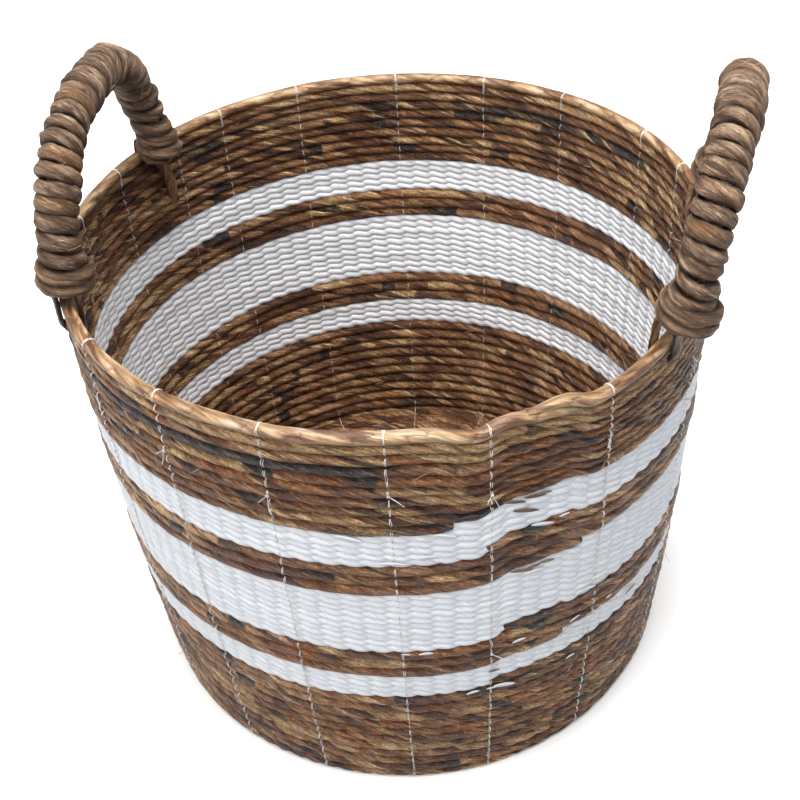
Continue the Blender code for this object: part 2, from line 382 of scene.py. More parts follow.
def make_piece(path, tree, slot, stands_for=(), **sizes):
    """A piece of the basket from a path and a geometry tree, as a plain mesh that rides with the basket."""
    piece = bpy.data.objects.new(path.name, path)
    bpy.context.scene.collection.objects.link(piece)
    modifier = piece.modifiers.new("make", "NODES")
    modifier.node_group = tree
    inputs = {item.name: item.identifier for item in tree.interface.items_tree if item.in_out == "INPUT"}
    for key, value in sizes.items():
        modifier[inputs[key.replace("_", " ").title()]] = value
    graph = bpy.context.evaluated_depsgraph_get()
    mesh = bpy.data.meshes.new_from_object(piece.evaluated_get(graph))
    mesh.name = piece.name
    piece.modifiers.clear()
    piece.data = mesh
    bpy.data.meshes.remove(path)
    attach(piece, "root")
    if stands_for:
        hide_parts(*stands_for)


def make_rope(name, points, outward, half_width, half_height, dye, slot, stands_for=(), along=None,
              breaks=(), **sizes):
    """A piece of wound rope. The distance along it is worked out from its points if it isn't given."""
    outward, dye = (np.broadcast_to(values, (len(points), 3)) for values in (outward, dye))
    path = path_mesh(name, points, breaks, outward=outward, half_width=half_width, half_height=half_height,
                     along=travelled_along(points) if along is None else along, dye=dye)
    make_piece(path, wound_rope, slot, stands_for, **sizes)


# ==== Leaf rope ===========================================
# Dried banana leaf, twisted loosely by hand from flat strips. It is brown, in patches from straw to nearly
# black where one strip gives way to the next, with a soft wax gloss and fine fibres along each strip.

def new_material(name, roughness, specular=0.5):
    """A material and its tree."""
    material = bpy.data.materials.new(name)
    material.use_nodes = True
    shader = material.node_tree.nodes["Principled BSDF"]
    shader.inputs["Roughness"].default_value = roughness
    shader.inputs["Specular IOR Level"].default_value = specular
    return material, material.node_tree


def finish_material(material, colour, height, depth, strength=1.0, roughness=None):
    """Gives a material its colour, and relief from a height that is depth metres deep."""
    tree = material.node_tree
    relief = output_of(tree, "ShaderNodeBump", {"Height": height, "Distance": depth, "Strength": strength})
    for name, value in (("Base Color", colour), ("Normal", relief), ("Roughness", roughness)):
        if value:
            tree.links.new(value.socket, tree.nodes["Principled BSDF"].inputs[name])
    return material


def carried(tree, name, output="Fac"):
    """A value that the piece's own mesh carries."""
    return output_of(tree, "ShaderNodeAttribute", output=output, attribute_name=name)


def split(vector, kind="XYZ"):
    """The three parts of a vector or a colour."""
    return [Value(item) for item in new_node(vector.tree, "ShaderNodeSeparate" + kind, {0: vector}).outputs]


def stretched(vector, across, along_rope):
    """Rope coordinates scaled across the strands and along them."""
    return vector.vector("MULTIPLY", (across, across, along_rope))


def ranged(value, low, high, to_low=0.0, to_high=1.0):
    """A value's range from low to high, clamped and spread over another range."""
    return output_of(value.tree, "ShaderNodeMapRange", {
        "Value": value, "From Min": low, "From Max": high, "To Min": to_low, "To Max": to_high})


def colour_ramp(value, stops):
    node = new_node(value.tree, "ShaderNodeValToRGB", {"Fac": value})
    elements = node.color_ramp.elements
    while len(elements) < len(stops):
        elements.new(0.5)
    for element, (place, colour) in zip(elements, stops):
        element.position = place
        element.color = (*colour, 1)
    return Value(node.outputs["Color"])


def mix_colour(share, first_colour, second_colour, mode="MIX"):
    if isinstance(second_colour, tuple):
        second_colour = (*second_colour, 1)
    return Value(new_node(first_colour.tree, "ShaderNodeMix", {0: share, 6: first_colour, 7: second_colour},
                          data_type="RGBA", blend_type=mode).outputs[2])


def shaded(colour, shade):
    """A colour multiplied by a shade."""
    return mix_colour(1.0, colour, shade, "MULTIPLY")


def fibre_group():
    """Fine fibres that run along a strand: a mask from 0 to 1 and a height for bump."""
    tree = bpy.data.node_groups.new("fibres", "ShaderNodeTree")
    for name, in_out, kind in (("Strand", "INPUT", "Vector"), ("Fineness", "INPUT", "Float"),
                               ("Streaks", "OUTPUT", "Float"), ("Height", "OUTPUT", "Float")):
        tree.interface.new_socket(name, in_out=in_out, socket_type="NodeSocket" + kind)
    strand, fineness = [Value(item) for item in tree.nodes.new("NodeGroupInput").outputs[:2]]
    streaks = noise(stretched(strand, 1.0, 7.0).vector("SCALE", fineness), 3.0, 0.65)
    hairs = noise(stretched(strand, 2.3, 10.0).vector("SCALE", fineness), 2.0)
    new_node(tree, "NodeGroupOutput", {"Streaks": ranged(streaks, 0.32, 0.68),
                                       "Height": streaks * 0.6 + hairs * 0.4})
    return tree


fibres = fibre_group()


def fibres_along(strand, fineness):
    """The fibre group's streaks and height for a material."""
    group = strand.tree.nodes.new("ShaderNodeGroup")
    group.node_tree = fibres
    strand.tree.links.new(strand.socket, group.inputs["Strand"])
    group.inputs["Fineness"].default_value = fineness
    return Value(group.outputs["Streaks"]), Value(group.outputs["Height"])


def leaf_rope_material():
    """Twisted leaf in strips of many browns. The rope's own dye says how many of its strips are straw (X),
    blue-black (Y) or rust (Z)."""
    gloss = 0.38
    material, tree = new_material("leaf_rope", gloss, 0.34)
    strand = carried(tree, "strand", "Vector")
    straw, black, rust = split(carried(tree, "dye", "Vector"))
    warp = noise(stretched(strand, 1.0, 30.0), output="Color")
    warped = stretched(strand, 0.80, 22.0).vector("ADD", warp.vector("SCALE", 1.1))
    chosen = split(cells(warped, "Color"), "Color")
    blotch = noise(stretched(strand, 1.6, 70.0), 5.0, 0.68)
    streaks, height = fibres_along(strand, 6.0)
    colour = colour_ramp(chosen[0] * 0.60 + blotch * 1.05 - 0.40, [
        (0.02, (0.024, 0.011, 0.008)), (0.16, (0.078, 0.031, 0.017)), (0.34, (0.165, 0.068, 0.031)),
        (0.52, (0.275, 0.128, 0.056)), (0.70, (0.435, 0.235, 0.110)), (0.88, (0.680, 0.460, 0.270))])
    # the more dye there is, the more of the strips take it
    for amount, strip, stops in (
            (straw, chosen[1], [(0.30, (0.230, 0.110, 0.042)), (0.48, (0.500, 0.290, 0.130)),
                                (0.68, (0.730, 0.510, 0.290))]),
            (rust, chosen[2], [(0.32, (0.090, 0.030, 0.011)), (0.52, (0.280, 0.098, 0.032)),
                               (0.70, (0.520, 0.240, 0.090))]),
            (black, chosen[0], [(0.38, (0.014, 0.010, 0.011)), (0.56, (0.045, 0.033, 0.032)),
                                (0.72, (0.250, 0.165, 0.105))])):
        share = ranged(amount + (strip * 0.8 - 0.4), 0.43, 0.57)
        colour = mix_colour(share, colour, colour_ramp(blotch, stops))
    colour = shaded(colour, ranged(streaks, 0, 1, straw * 0.14 + 0.64, straw * -0.36 + 1.72))
    specks_and_glints = noise(stretched(strand, 5.0, 420.0), 3.0, 0.7)
    # The specks darken and lighten the strips at random; where they are brightest the colour is painted
    # toward pale tan as painted glints, small highlights.
    colour = shaded(colour, ranged(specks_and_glints, 0.36, 0.66, 0.50, 1.60))
    colour = mix_colour(ranged(specks_and_glints, 0.60, 0.70, 0, 0.55), colour, (0.60, 0.46, 0.32))
    ledge = ranged(cells(warped, feature="DISTANCE_TO_EDGE"), 0, 0.09)
    # painted shade: the colour darkens deep in the creases between strands and on the top and bottom of the
    # rope where the rows meet; the dark lines along the strips' edges are where one strip meets the next
    deep = (carried(tree, "groove") ** 5.0 * 0.70).maths("MAXIMUM", carried(tree, "seam") ** 8.0 * 0.66)
    colour = mix_colour(deep.maths("MAXIMUM", ledge * -0.55 + 0.55), colour, (0.016, 0.008, 0.004))
    return finish_material(material, colour, height + ledge * 0.30 + specks_and_glints * 0.70, 0.0032,
                           roughness=ranged(streaks, 0, 1, gloss - 0.10, gloss + 0.16))


def straw_rope_material():
    """Pale outer leaf, wound over the rope as a wide strip whose edge shows as a dark slanting line."""
    material, tree = new_material("straw_rope", 0.40, 0.45)
    strand = carried(tree, "strand", "Vector")
    cosine, sine, distance = split(strand)
    streaks, height = fibres_along(strand, 4.0)
    patch = noise(stretched(strand, 0.7, 34.0), 5.0, 0.62)
    colour = colour_ramp(patch, [(0.38, (0.110, 0.046, 0.020)), (0.46, (0.270, 0.140, 0.062)),
                                 (0.53, (0.430, 0.275, 0.145)), (0.64, (0.600, 0.455, 0.295))])
    colour = shaded(colour, ranged(streaks, 0, 1, 0.74, 1.12))
    wander = noise(stretched(strand, 0.8, 60.0))
    phase = (sine.maths("ARCTAN2", cosine) / math.tau + distance * 42.0 + wander * 0.9).maths("FRACT")
    ledge = ranged(phase, 0, 0.24, 1, 0)
    line = ledge ** 2.0 * ranged(patch, 0.40, 0.62, 1, 0.55)
    # painted shade on the top and bottom of the rope where it meets the rows beside it, together with the
    # dark slanting line at the strip's edge
    deep = (carried(tree, "seam") ** 9.0 * 0.70).maths("MAXIMUM", line)
    colour = mix_colour(deep, colour, (0.060, 0.024, 0.010))
    return finish_material(material, colour, height * 0.7 - ledge * 0.5, 0.0016, 0.8)


leaf_rope = leaf_rope_material()
straw_rope = straw_rope_material()


# ==== Base ================================================
# A flat spiral of leaf rope, started in the middle and wound clockwise. Its last turn carries on into the
# wall. It stands on the floor, held by the stitching that crosses it.

def soft_patches(distance, wavelength, seed, amount, rarity, softness=0.25):
    """Patches along the rope: 0 between them, up to amount in them, rarer as rarity nears 1."""
    return amount * smooth_step(smooth_noise(distance, wavelength, seed), rarity, rarity + softness)


BASE_LOWEST = 0.0007               # the stitches under the base keep the rope this far off the floor
BASE_START_RADIUS = 0.0046
SPIRAL_STEP = 0.0026
spiral_turn = [(BASE_START_RADIUS - FOOT_RADIUS) / BASE_TURN_WIDTH]
while spiral_turn[-1] < 0:
    spiral_radius = FOOT_RADIUS + BASE_TURN_WIDTH * spiral_turn[-1]
    spiral_turn.append(spiral_turn[-1] + SPIRAL_STEP / (2 * math.pi * max(spiral_radius, 0.012)))
spiral_turn = np.array(spiral_turn)
spiral_radius = FOOT_RADIUS + BASE_TURN_WIDTH * spiral_turn
spiral_angle = TURN_START - 2 * math.pi * spiral_turn
spiral_along = np.concatenate([[0], np.cumsum(np.diff(spiral_turn) * 2 * math.pi * spiral_radius[1:])])
spiral_end = smooth_step(spiral_turn, -CLIMB_SHARE, 0)
spiral_taper = 1 - 0.7 * (1 - smooth_step(spiral_along, 0, 0.008))
spiral_half_height = (BASE_THICKNESS - BASE_LOWEST) / 2 * (1 - 0.35 * spiral_end) * spiral_taper
spiral_half_width = BASE_TURN_WIDTH * 0.51 + 0.0003 * smooth_noise(spiral_along, 0.03, 11)
base_dye = np.stack([soft_patches(spiral_along, 0.11, 12, 0.25, 0.2, 0.5),
                     soft_patches(spiral_along, 0.09, 13, 0.6, 0.45, 0.35),
                     soft_patches(spiral_along, 0.13, 14, 0.4, 0.2, 0.6)], axis=-1)
make_rope("base_spiral", around(spiral_radius, spiral_angle, BASE_LOWEST + spiral_half_height),
          around(1, spiral_angle, 0), spiral_half_width * spiral_taper, spiral_half_height, base_dye,
          "dark_rope", ["base_coil"], along=spiral_along, sides=8, strands=2, lay=0.042, crease=0.12,
          lumps=0.0004, lump_length=0.016, seed=1, material=leaf_rope)


# ==== Wall of leaf rope ===================================
# The leaf rope of the wall: eleven thick turns at the foot, two bands of three turns between the white
# ones, and nine thinner turns up to the rim, the last two of paler leaf. Coiled and sewn turn on turn.

def side_share(centre, reach):
    """1 on the side of the basket that faces an angle, falling to 0 a reach away from it, in degrees."""
    away = np.abs((np.degrees(coil_angle) - centre + 180) % 360 - 180)
    return 1 - smooth_step(away, 0.6 * reach, reach)


def in_row(number):
    """1 in a turn of the coil, counted down from the rim, which is the first."""
    from_top = TURNS - turn
    return (smooth_step(from_top, number - 1.01, number - 0.99)
            * (1 - smooth_step(from_top, number - 0.01, number + 0.01)))


in_rim = smooth_step(turn, TURNS - 1.004, TURNS - 0.996)
front_left, front_right = side_share(-112, 44), side_share(-55, 50)
front, back = side_share(-85, 95), side_share(92, 75)
straw = soft_patches(along, 0.055, 21, 0.55, 0.20)
for amount in (0.95 * in_rim, in_row(2) * (0.95 * front + 0.3),
               in_row(2) * smooth_step(turn, TURNS - 1.16, TURNS - 1.04), in_row(3) * 0.68 * front):
    straw = np.maximum(straw, amount)
straw = np.maximum(straw * (1 - in_row(4) * front_left), 0.62 * in_row(4) * back)
rust = soft_patches(along, 0.070, 23, 0.42, 0.20) * (0.35 + 0.65 * side_share(-70, 110))
rust = np.where(in_row(3) > 0.5, np.maximum(rust, 0.35 * front), rust)
rust = np.maximum(rust, 0.75 * in_row(5) * front_right) * (1 - in_rim)
black = soft_patches(along, 0.026, 22, 0.44, 0.52) * (1 - in_rim) * (1 - 0.8 * in_row(2))
for amount in (0.95 * in_row(4) * front_left, 0.52 * in_row(4) * back):
    black = np.maximum(black, amount)
dye = np.stack([straw, black, rust], axis=-1)


def wall_coils(name, node, slot, material, row_share, **sizes):
    """One run of the wall's rope, which stands for its CAD node."""
    run = [run_node for run_node, _, _, _ in RUNS].index(node)
    part = slice(max(0, round(run_starts[run] * STEPS)), round(run_starts[run + 1] * STEPS) + 1)
    distance = along[part]
    ends = np.minimum(distance - distance[0], distance[-1] - distance)
    taper = 1 if slot == "tan_rope" else 0.70 + 0.30 * smooth_step(ends, 0, 0.006)
    make_rope(name, around(coil_radius[part], coil_angle[part], coil_height[part]),
              around(1, coil_angle[part], 0), half_width[part] * taper,
              coil_half_height[part] * row_share * taper, dye[part], slot, [node], along=distance,
              material=material, **sizes)


wall_coils("lower_wall_coils", "lower_wall_rope", "dark_rope", leaf_rope, 1.12, sides=10, strands=5,
           lay=0.066, crease=0.17, lumps=0.00060, lump_length=0.016, seed=2)
for band, seed in (("lower", 3), ("upper", 4)):
    wall_coils(band + "_brown_coils", band + "_brown_rope", "dark_rope", leaf_rope, 1.13, sides=12, strands=3,
               lay=0.068, crease=0.14, lumps=0.00055, lump_length=0.018, seed=seed)
wall_coils("top_wall_coils", "top_wall_rope", "dark_rope", leaf_rope, 1.09, sides=12, strands=4,
           lay=0.058, crease=0.17, lumps=0.00055, lump_length=0.016, seed=5)
wall_coils("collar_coils", "collar_rope", "tan_rope", leaf_rope, 1.08, sides=12, strands=2,
           lay=0.075, crease=0.11, lumps=0.00050, lump_length=0.020, seed=6)
wall_coils("rim_coil", "rim_rope", "tan_rope", straw_rope, 1.04, sides=14, strands=2,
           lay=0.110, crease=0.06, lumps=0.00042, lump_length=0.024, seed=7)


# ==== White rope ==========================================
# Two plies of white paper yarn laid to the right. It is thinner than the leaf rope and evenly twisted, so
# each ply shows as a row of bright slanting lenses with a thin grey shadow between them.

def white_rope_material():
    """White yarn, a little soiled, with painted grey shade in the creases where the plies meet and where the
    rows meet.
    """
    material, tree = new_material("white_rope", 0.50)
    strand = carried(tree, "strand", "Vector")
    streaks, height = fibres_along(strand, 9.0)
    soil = noise(stretched(strand, 0.8, 18.0))
    colour = colour_ramp(streaks, [(0.0, (0.60, 0.63, 0.67)), (0.5, (0.80, 0.82, 0.86)),
                                   (1.0, (0.93, 0.94, 0.97))])
    colour = mix_colour(soil * 0.12, colour, (0.70, 0.67, 0.62))
    # painted shade: grey in the creases between the plies, and faintly where the rows meet
    deep = (carried(tree, "groove") ** 3.5 * 0.62).maths("MAXIMUM", carried(tree, "seam") ** 14.0 * 0.12)
    return finish_material(material, mix_colour(deep, colour, (0.46, 0.48, 0.53)), height, 0.0009, 0.6)


white_rope = white_rope_material()
for band, seed in (("lower", 31), ("middle", 32), ("upper", 33)):
    wall_coils(band + "_white_coils", band + "_white_rope", "white_rope", white_rope, 1.58, sides=12,
               strands=2, lay=0.027, crease=0.33, lumps=0.00022, lump_length=0.009, seed=seed)


# ==== Stitching ===========================================
# Shiny thread sewn in lines from the middle of the base, up the inside, over the rim, down the outside and
# back under the base. It shows as a short stitch over each turn of the rope and dips in between turns.

STITCH_ANGLES = [-115.5, -97, -78.5, -63, -42, -17, 3.5, 24.5, 38.5, 61,
                 79.5, 99, 121, 139, 151, 168.5, 185.5, 202.5, 225.5]
THREAD_RADIUS = 0.00021
PROUD = THREAD_RADIUS * 0.9        # how far a thread's middle lies off the rope
STITCH_INNER_END = 0.030           # radius at which a line of stitches starts on the base

# Where a stitch bends as it crosses a turn: shares of the base's turn width outward and the height; shares
# of the rope's half width and of PROUD off its middle, and a share of its half height upward
OVER_BASE = [(-0.42, BASE_THICKNESS - 0.0020), (-0.15, BASE_THICKNESS + PROUD),
             (0.15, BASE_THICKNESS + PROUD)]
UNDER_BASE = [(0.42, BASE_LOWEST + 0.0016), (0.15, THREAD_RADIUS), (-0.15, THREAD_RADIUS)]
UP_INSIDE = [(-0.05, 0, -1), (-0.78, -0.6, -0.62), (-1, -0.6, -0.1), (-0.84, -0.6, 0.5)]
DOWN_OUTSIDE = [(0.02, 0, 1), (0.88, 1, 0.55), (1, 1, 0.1), (0.80, 1, -0.62)]
OVER_RIM = [-0.10, 0.14, 0.32, 0.5, 0.68, 0.86, 1.10]     # in half turns from the inside


def thread_tree():
    """A thread of even thickness along a path."""
    tree, given = new_tree("thread", {"Radius": "Float", "Sides": "Int", "Material": "Material"})
    path = output_of(tree, "GeometryNodeMeshToCurve", {"Mesh": given["Geometry"]})
    close_tree(swept(path, circle(given, given["Radius"])), given["Material"])
    return tree


def speckled_material(name, roughness, specular, scale, detail, stops, depth, strength):
    """Specks of a few tones, with a little relief."""
    material, tree = new_material(name, roughness, specular)
    specks = noise(output_of(tree, "ShaderNodeTexCoord", output="Object"), detail, scale=scale)
    return finish_material(material, colour_ramp(specks, stops), specks, depth, strength)


thread = thread_tree()
# monofilament, clear to silver
sewing_thread = speckled_material("sewing_thread", 0.22, 0.8, 420.0, 2.0, [
    (0.30, (0.46, 0.43, 0.40)), (0.55, (0.74, 0.72, 0.69)), (0.75, (0.92, 0.92, 0.90))], 0.0002, 0.4)
chance = np.random.default_rng(51)


def rows_at(angle):
    """Radius, height, half width and half height of every turn of the wall at an angle, floor first."""
    share = ((TURN_START - angle) / (2 * math.pi)) % 1
    steps = [round((number + share) * STEPS) for number in range(TURNS)]
    return np.stack([coil_radius, coil_height, half_width, coil_half_height], axis=-1)[steps]


def base_rows_at(angle):
    """Radius of every turn of the base at an angle, from the middle out."""
    share = ((TURN_START - angle) / (2 * math.pi)) % 1
    radii = [FOOT_RADIUS + BASE_TURN_WIDTH * (share - number) for number in range(1, 20)]
    return sorted(radius for radius in radii if radius > STITCH_INNER_END)


def stitch_line(angle, shift):
    """One thread of a line of stitches, moved sideways by a shift in metres."""
    base_radii = base_rows_at(angle)
    rows = rows_at(angle)
    bends = [(radius + BASE_TURN_WIDTH * out, height) for radius in base_radii for out, height in OVER_BASE]
    bends += [(radius + width * out + PROUD * off, height + tall * up)
              for radius, height, width, tall in rows[1:-1] for out, off, up in UP_INSIDE]
    radius, height, width, tall = rows[-1]
    bends += [(radius - (width + PROUD) * math.cos(math.pi * bend),
               height + (tall + PROUD) * math.sin(math.pi * bend)) for bend in OVER_RIM]
    bends += [(radius + width * out + PROUD * off, height + tall * up)
              for radius, height, width, tall in rows[-2::-1] for out, off, up in DOWN_OUTSIDE]
    bends += [(radius + BASE_TURN_WIDTH * out, height)
              for radius in base_radii[::-1] for out, height in UNDER_BASE]
    return [around(radius, angle + (chance.uniform(-0.0004, 0.0004) + shift) / max(radius, 0.02), height)
            for radius, height in bends]


def knot(centre, outward, size):
    """A tight knot, as two crossed loops, and its two cut tails."""
    across = np.array([-outward[1], outward[0], 0.0])
    loops = []
    for tilt in (0.5, -0.5):
        side = across * math.cos(tilt) + UP * math.sin(tilt)
        loops.append([centre + outward * size * (0.6 + 0.5 * math.sin(bend)) + side * size * math.cos(bend)
                      for bend in np.linspace(0, 2 * math.pi, 9)])
    for lean in chance.uniform(-1.1, 1.1, 2):
        length = chance.uniform(0.005, 0.012)
        fall = across * math.sin(lean) - UP * math.cos(lean)
        loops.append([centre + outward * (size * 0.8 + 0.0016 * share * share) + fall * length * share
                      for share in np.linspace(0, 1, 5)])
    return loops


def joined(stretches):
    """The points of several stretches, and where each stretch starts."""
    breaks = np.cumsum([0] + [len(stretch) for stretch in stretches[:-1]])
    return [point for stretch in stretches for point in stretch], breaks.tolist()


for number, degrees in enumerate(STITCH_ANGLES, start=1):
    angle = math.radians(degrees)
    first_line = stitch_line(angle, 0.0003)
    half = len(first_line) // 2
    # the second thread runs beside the first from the top of the inside down the outside
    stretches = [first_line, stitch_line(angle, -0.0004)[half - 8:half + TURNS * len(DOWN_OUTSIDE)]]
    for row in (-7 + number % 2, -30 - number % 4):
        radius, height, width, _ = rows_at(angle)[row]
        stretches += knot(around(radius + width, angle, height), around(1, angle, 0), 0.0009)
    make_piece(path_mesh(f"stitches_{number:02d}", *joined(stretches)), thread, "thread",
               [f"stitch_thread_{number:02d}"], radius=THREAD_RADIUS, sides=5, material=sewing_thread)


# ==== Handles =============================================
# Two stiff arches whose legs straddle the rim. Each is a bundle of rope, wrapped closely in one softer,
# fibrous rope, with fatter turns at the foot of each leg and a cord down each side of the wall.

CORE_RADIUS = 0.0070
BINDING_RADIUS = 0.0175
BINDING_LENGTH = 0.0240
FOOT_GAP = 0.0012
ARCH_SQUARENESS = 2.45
# Where each handle stands on the rim, half of what it spans there, how far outside the rim's centre line
# its feet are, how high it rises above them, and how far it leans out
HANDLES = {
    "left": {"angle": 184.7, "half_span": 26.4, "outset": -0.0036, "rise": 0.0878, "lean": -2.2},
    "right": {"angle": -6.5, "half_span": 21.3, "outset": 0.0098, "rise": 0.0962, "lean": 6.2},
}
WRAP_HALF = 0.0034                 # half of the wrapping rope's thickness
WRAP_PITCH = 0.0094
FOOT_TURNS = 2.3
POINTS_PER_TURN = 44


def wrap_rope_material():
    """Jute-like rope: grey-tan, very fibrous, with painted dark shade where the turns meet and in the creases
    between its strands.
    """
    material, tree = new_material("wrap_rope", 0.62, 0.35)
    strand = carried(tree, "strand", "Vector")
    wander = noise(stretched(strand, 1.0, 90.0), output="Color").vector("SUBTRACT", (0.5, 0.5, 0.5))
    tangled = strand.vector("ADD", wander.vector("MULTIPLY", (0.9, 0.9, 0.004)))
    streaks, height = fibres_along(tangled, 6.5)
    patch = noise(stretched(strand, 0.9, 60.0), 6.0, 0.7)
    colour = colour_ramp(patch, [(0.30, (0.040, 0.019, 0.010)), (0.43, (0.122, 0.066, 0.038)),
                                 (0.53, (0.236, 0.144, 0.088)), (0.66, (0.450, 0.315, 0.210))])
    colour = mix_colour(split(carried(tree, "dye", "Vector"))[2], colour, (0.26, 0.125, 0.042))
    colour = shaded(colour, ranged(streaks, 0, 1, 0.45, 1.55))
    # painted shade in the creases between strands and where the turns meet
    deep = (carried(tree, "groove") ** 3.0 * 0.6).maths("MAXIMUM", carried(tree, "seam") ** 5.0 * 0.9)
    return finish_material(material, mix_colour(deep, colour, (0.030, 0.016, 0.009)), height, 0.0046)


wrap_rope = wrap_rope_material()


class Arch:
    """The centre line of one handle, as evenly spaced points with their directions."""

    def __init__(self, sizes):
        angle, half_span, lean = (math.radians(sizes[key]) for key in ("angle", "half_span", "lean"))
        feet_radius = RIM_RADIUS + sizes["outset"]
        power = 2 / ARCH_SQUARENESS
        bend = np.linspace(0, math.pi, 4001)
        sideways = feet_radius * math.sin(half_span) * np.sign(np.cos(bend)) * np.abs(np.cos(bend)) ** power
        rise = sizes["rise"] * np.maximum(np.sin(bend), 0) ** power
        out = around(1, angle, 0)
        side = around(1, angle + math.pi / 2, 0)
        up = out * math.sin(lean) + UP * math.cos(lean)
        foot = RIM_TOP + FOOT_GAP + BINDING_RADIUS * math.sin(abs(lean))
        start = out * feet_radius * math.cos(half_span) + UP * foot
        points = start - np.outer(sideways, side) + np.outer(rise, up)
        self.across = np.cross(side, up)
        travelled = travelled_along(points)
        self.length = travelled[-1]
        self.even = np.linspace(0, self.length, 601)
        self.points = np.stack([np.interp(self.even, travelled, axis) for axis in points.T], axis=-1)
        heading = np.pad(np.gradient(self.points, axis=0), ((15, 15), (0, 0)), mode="edge")
        heading = np.stack([smoothed(axis, 31) for axis in heading.T], axis=-1)
        self.headings = heading / np.linalg.norm(heading, axis=1)[:, None]

    def at(self, distance):
        """Points, headings, and the direction across the rope in the arch's plane, at distances."""
        points, headings = (np.stack([np.interp(distance, self.even, axis) for axis in rows.T], axis=-1)
                            for rows in (self.points, self.headings))
        headings /= np.linalg.norm(headings, axis=1)[:, None]
        return points, headings, np.cross(headings, self.across)

    def winding(self, start, end, pitch, radius, unevenness, seed):
        """A left-handed helix of rope round the arch: points and outward directions. Unevenness, in metres,
        is how far a turn may stray along the arch."""
        distance = np.linspace(start, end, int(abs(end - start) / pitch * POINTS_PER_TURN) + 1)
        bearing = -2 * math.pi * distance / pitch
        distance = distance + unevenness * smooth_noise(np.abs(distance - start), 1.25 * pitch, seed)
        points, _, inner = self.at(distance)
        outward = np.outer(np.cos(bearing), self.across) + inner * np.sin(bearing)[:, None]
        return points + outward * radius, outward


def from_ends(distance):
    """How far each point of a path is from the path's nearer end."""
    return np.minimum(distance, distance[-1] - distance)


for side, sizes in HANDLES.items():
    arch = Arch(sizes)
    seed = 61 if side == "left" else 71
    if side == "left":
        # its rear leg slips inside the rim and reaches down the wall
        rear = 0 if arch.points[0][1] > 0 else -1
        slip = smooth_step(np.abs(arch.even - arch.even[rear]), 0, 0.052)
        inward = -arch.points[rear] * (1, 1, 0) / np.hypot(*arch.points[rear][:2])
        arch.points = arch.points + np.outer(1 - slip, 0.0115 * inward + np.array([0, 0, -0.0105]))

    points, _, _ = arch.at(np.linspace(0.001, arch.length - 0.001, 130))
    make_rope(side + "_handle_bundle", points, arch.across, CORE_RADIUS * 0.97, CORE_RADIUS * 0.97, 0,
              "handle_core", [side + "_handle_core"], sides=16, strands=5, lay=0.09, crease=0.20,
              lumps=0.0003, lump_length=0.02, seed=seed, material=leaf_rope)

    pitch = arch.length / round(arch.length / WRAP_PITCH)
    points, outward = arch.winding(0.014, arch.length - 0.014, pitch, CORE_RADIUS + WRAP_HALF * 0.82,
                                   0.0013, seed + 8)
    distance = travelled_along(points)
    uneven = smooth_noise(distance, 0.030, seed)
    points = points + outward * (0.0008 * uneven)[:, None]
    taper = 0.5 + 0.5 * smooth_step(from_ends(distance), 0, 0.01)
    make_rope(side + "_handle_winding", points, outward, WRAP_HALF * (1 + 0.12 * uneven) * taper,
              pitch * 0.57 * (1 + 0.13 * smooth_noise(distance, 0.05, seed + 1)),
              np.outer(soft_patches(distance, 0.05, seed + 2, 0.5, 0.5), [0, 0, 1]),
              "handle_wrap", [side + "_handle_wrap"], along=distance, sides=16, strands=4, lay=0.080,
              crease=0.20, lumps=0.0011, lump_length=0.009, seed=seed + 3, material=wrap_rope)

    front_first = bool(arch.points[0][1] < arch.points[-1][1])
    for leg, at_start in (("front", front_first), ("rear", not front_first)):
        slipped = side == "left" and leg == "rear"
        begin, finish = 0.0045, BINDING_LENGTH - 0.004
        if not at_start:
            begin, finish = arch.length - begin, arch.length - finish
        pitch = abs(finish - begin) / FOOT_TURNS
        points, outward = arch.winding(begin, finish, pitch, 0.0, 0.0010, seed + 12 + at_start)
        swell = np.sin(math.pi * np.clip(np.linspace(0, 1.1, len(points)), 0, 1))
        points = points + outward * (0.0125 - 0.0022 * slipped + 0.0016 * swell)[:, None]
        distance = travelled_along(points)
        taper = 0.35 + 0.65 * smooth_step(from_ends(distance), 0, 0.018)
        make_rope(f"{side}_{leg}_foot_winding", points, outward, 0.0042 * taper, pitch * 0.70 * taper,
                  (0, 0, 0.15), "handle_wrap", [f"{side}_{leg}_binding"], sides=16, strands=4, lay=0.10,
                  crease=0.20, lumps=0.0011, lump_length=0.010, seed=seed + 5 + at_start, material=wrap_rope)

        foot = arch.points[0] if at_start else arch.points[-1]
        foot_angle = math.atan2(foot[1], foot[0])
        for cord, sign, drop, slot, cord_dye in (("inner", -1, 0.042, "handle_wrap", (0.55, 0, 0.2)),
                                                 ("outer", 1, 0.030, "dark_rope", (0, 0.5, 0.2))):
            share = np.linspace(0, 1, 26)
            long_tail = slipped and cord == "inner"
            if long_tail:
                drop = 0.060
            heights = RIM_TOP + 0.004 - (drop + 0.002) * share
            tucked = smooth_step(share, 0.62, 1.0)
            lift = 0.0032 * np.sin(math.pi * np.clip(share * 1.4, 0, 1)) * (sign < 0)
            radii = (wall_radius(np.minimum(heights, RIM_HEIGHT))
                     + sign * (0.0041 + 0.0016 - 0.0052 * tucked + lift * 0.4))
            cord_angle = foot_angle + 0.010 * np.sin(share * 2.2) * sign - 0.07 * share * long_tail
            thinner = 1 - 0.15 * smooth_step(share, 0.6, 1.0)
            make_rope(f"{side}_{leg}_{cord}_tie", around(radii, cord_angle, heights),
                      around(1, cord_angle, 0), (0.0019 + 0.0014 * long_tail) * thinner, 0.0050 * thinner,
                      cord_dye, slot, [f"{side}_{leg}_{cord}_cord"], sides=12, strands=3, lay=0.060,
                      crease=0.22, lumps=0.0005, lump_length=0.01, seed=seed + 9, material=leaf_rope)


